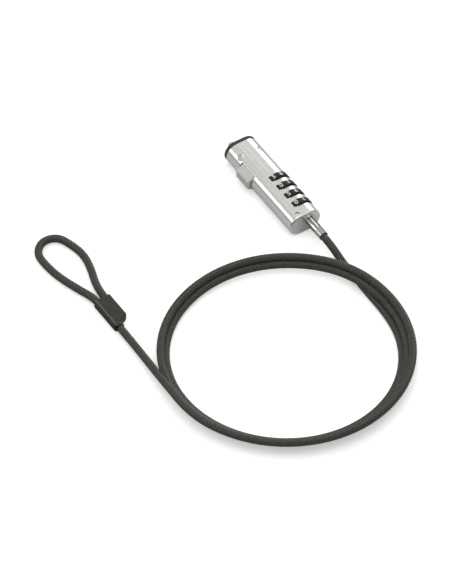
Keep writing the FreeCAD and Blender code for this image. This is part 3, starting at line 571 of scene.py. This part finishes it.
MATERIALS = {
    "housing_metal": satin_metal("housing_metal", (0.76, 0.76, 0.735), 0.24, edge=0.2, patches=MARK_DARKENING),
    "button_metal": brushed_metal("button_metal", (0.66, 0.65, 0.60), 0.36),
    "core_metal": cast_metal("core_metal", (0.42, 0.42, 0.41), 0.5),
    "pin_steel": satin_metal("pin_steel", (0.70, 0.70, 0.67), 0.22, edge=0.1),
    "bumper_rubber": moulded(
        "bumper_rubber", (0.045, 0.045, 0.043), 0.7, pores=2500, depth=0.03, edge=0.0, shine=0.15,
    ),
    "steel": turned_metal("steel", (0.56, 0.56, 0.56), 0.3),
    "spring_steel": brushed_metal("spring_steel", (0.48, 0.48, 0.49), 0.28, edge=0.05),
    "brass": turned_metal("brass", (0.62, 0.46, 0.20), 0.3),
    "bush_metal": polished_metal("bush_metal", (0.68, 0.68, 0.65), 0.19),
    "fitting_nickel": polished_metal("fitting_nickel", (0.34, 0.335, 0.28), 0.16, patches=FITTING_TONES_AND_PAINTED_LIGHT),
    "aluminium": brushed_metal("aluminium", (0.72, 0.72, 0.73), 0.36),
    "sleeve_black": moulded(
        "sleeve_black", (0.034, 0.035, 0.026), 0.33, pores=1800, depth=0.008, edge=0.2, shine=0.15,
        patches=SLEEVE_PAINTED_LIGHT,
    ),
    "dial_black": moulded(
        "dial_black", (0.010, 0.010, 0.010), 0.36, pores=3000, depth=0.004, edge=0.08, shine=0.4,
    ),
    "digit_white": moulded("digit_white", (0.82, 0.82, 0.80), 0.5, pores=4000, depth=0.004, edge=0.0),
    "cable_jacket": cable_jacket(),
}


def paint_nodes():
    """Gives every CAD node the finish that its slot names in the record."""
    slots = {part["node"]: part["material_slot"] for part in frame["record"]["subparts"]}
    for name, node in NODES.items():
        node.data.materials.clear()
        node.data.materials.append(MATERIALS[slots[name]])


def make_button_spring():
    """The return spring behind the button, as a copy of the CAD spring with a mesh of its own."""
    spring = bpy.data.objects.new("return_spring", NODES["button_spring"].data.copy())
    bpy.context.scene.collection.objects.link(spring)
    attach(spring, "root")
    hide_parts("button_spring")
    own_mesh(spring)


# ---------------------------------------------------------------------------------------------
# Floor, light and camera, in metres and degrees, with the focal length in millimetres
# ---------------------------------------------------------------------------------------------
FLOOR_SIZE = 30.0
FLOOR_WHITE = (0.85, 0.85, 0.85, 1)
FLOOR_GLOW = 0.42
MIRRORED_FLOOR = (0.62, 0.62, 0.62, 1)
# the studio's brightness from the horizon to straight up, against the sine of the elevation
SKY = ((0.0, 0.30), (0.45, 0.45), (0.74, 0.74), (1.0, 0.85))
CAMERA_TARGET = Vector((-0.04682, 0.06132, 0.0))
CAMERA_DISTANCE = 6.0
CAMERA_ELEVATION = 47.71
CAMERA_HEADING = -122.74
CAMERA_REACH = 100.0
FOCAL_LENGTH = 673.6


def direction(azimuth, elevation):
    """A unit vector, azimuth counted from +X towards +Y."""
    turn = math.radians(azimuth)
    rise = math.radians(elevation)
    return Vector((math.cos(turn) * math.cos(rise), math.sin(turn) * math.cos(rise), math.sin(rise)))


def make_camera():
    """A long lens, looking at the middle of the coil and the lock."""
    data = bpy.data.cameras.new("camera")
    data.lens = FOCAL_LENGTH
    data.clip_end = CAMERA_REACH
    camera = bpy.data.objects.new("camera", data)
    bpy.context.scene.collection.objects.link(camera)
    camera.rotation_euler = (math.radians(90 - CAMERA_ELEVATION), 0, math.radians(CAMERA_HEADING))
    back = camera.rotation_euler.to_matrix() @ UP
    camera.location = CAMERA_TARGET + back * CAMERA_DISTANCE
    bpy.context.scene.camera = camera


def camera_share(tree):
    """1 for what the camera sees straight, and 0 for what lights or is mirrored in the object."""
    return tree.nodes.new("ShaderNodeLightPath").outputs["Is Camera Ray"]


def make_floor():
    """A plain white sheet. Its grey twin is what the object mirrors, as on a cut-out studio picture."""
    mesh = bpy.data.meshes.new("floor")
    half = FLOOR_SIZE / 2
    corners = [(-half, -half, 0), (half, -half, 0), (half, half, 0), (-half, half, 0)]
    mesh.from_pydata(corners, [], [(0, 1, 2, 3)])
    floor = bpy.data.objects.new("floor", mesh)
    bpy.context.scene.collection.objects.link(floor)
    material, tree, shader = new_material("floor_white", Base_Color=FLOOR_WHITE, IOR=1.5)
    tree.links.new(spread(tree, noise(tree, scale=40), 0.14, 0.18), shader.inputs["Roughness"])
    glow = add(tree, "ShaderNodeEmission", Color=(1, 1, 1, 1), Strength=FLOOR_GLOW)
    bright = tree.nodes.new("ShaderNodeAddShader")
    tree.links.new(shader.outputs[0], bright.inputs[0])
    tree.links.new(glow.outputs[0], bright.inputs[1])
    grey = add(tree, "ShaderNodeBsdfDiffuse", Color=MIRRORED_FLOOR)
    mix = tree.nodes.new("ShaderNodeMixShader")
    tree.links.new(camera_share(tree), mix.inputs[0])
    tree.links.new(grey.outputs[0], mix.inputs[1])
    tree.links.new(bright.outputs[0], mix.inputs[2])
    tree.links.new(mix.outputs[0], tree.nodes["Material Output"].inputs["Surface"])
    mesh.materials.append(material)


def softbox(name, azimuth, elevation, distance, width, height, radiance):
    """A rectangular light facing the lock. Its power follows from the brightness of its face."""
    data = bpy.data.lights.new(name, "AREA")
    data.shape = "RECTANGLE"
    data.size, data.size_y = width, height
    data.energy = radiance * math.pi * width * height
    light = bpy.data.objects.new(name, data)
    bpy.context.scene.collection.objects.link(light)
    aim = direction(azimuth, elevation)
    light.location = aim * distance
    light.rotation_mode = "QUATERNION"
    light.rotation_quaternion = aim.to_track_quat("Z", "Y")
    light.visible_camera = False


def make_light():
    """A grey studio that the camera sees as plain white, with three softboxes that it doesn't see."""
    world = bpy.data.worlds.new("studio")
    bpy.context.scene.world = world
    world.use_nodes = True
    tree = world.node_tree
    source = tree.nodes.new("ShaderNodeTexCoord")
    parts = add(tree, "ShaderNodeSeparateXYZ", Vector=source.outputs["Generated"])
    ramp = add(tree, "ShaderNodeValToRGB", Fac=parts.outputs["Z"])
    stops = ramp.color_ramp.elements
    while len(stops) < len(SKY):
        stops.new(0.5)
    for stop, (position, brightness) in zip(stops, SKY):
        stop.position = position
        stop.color = (brightness, brightness, brightness, 1)
    white = (1, 1, 1)
    seen = blend(tree, camera_share(tree), ramp.outputs["Color"], white)
    tree.links.new(seen, tree.nodes["Background"].inputs["Color"])
    softbox("left_card", 52, 24, distance=1.3, width=0.9, height=0.36, radiance=2.4)
    softbox("back_softbox", -52, 25, distance=1.6, width=1.5, height=0.85, radiance=2.2)
    softbox("top_softbox", 140, 85, distance=1.8, width=1.6, height=1.6, radiance=1.0)
    bpy.context.scene.view_settings.view_transform = "Standard"


make_cable()
paint_nodes()
make_button_spring()
make_numerals()
make_floor()
make_light()
make_camera()
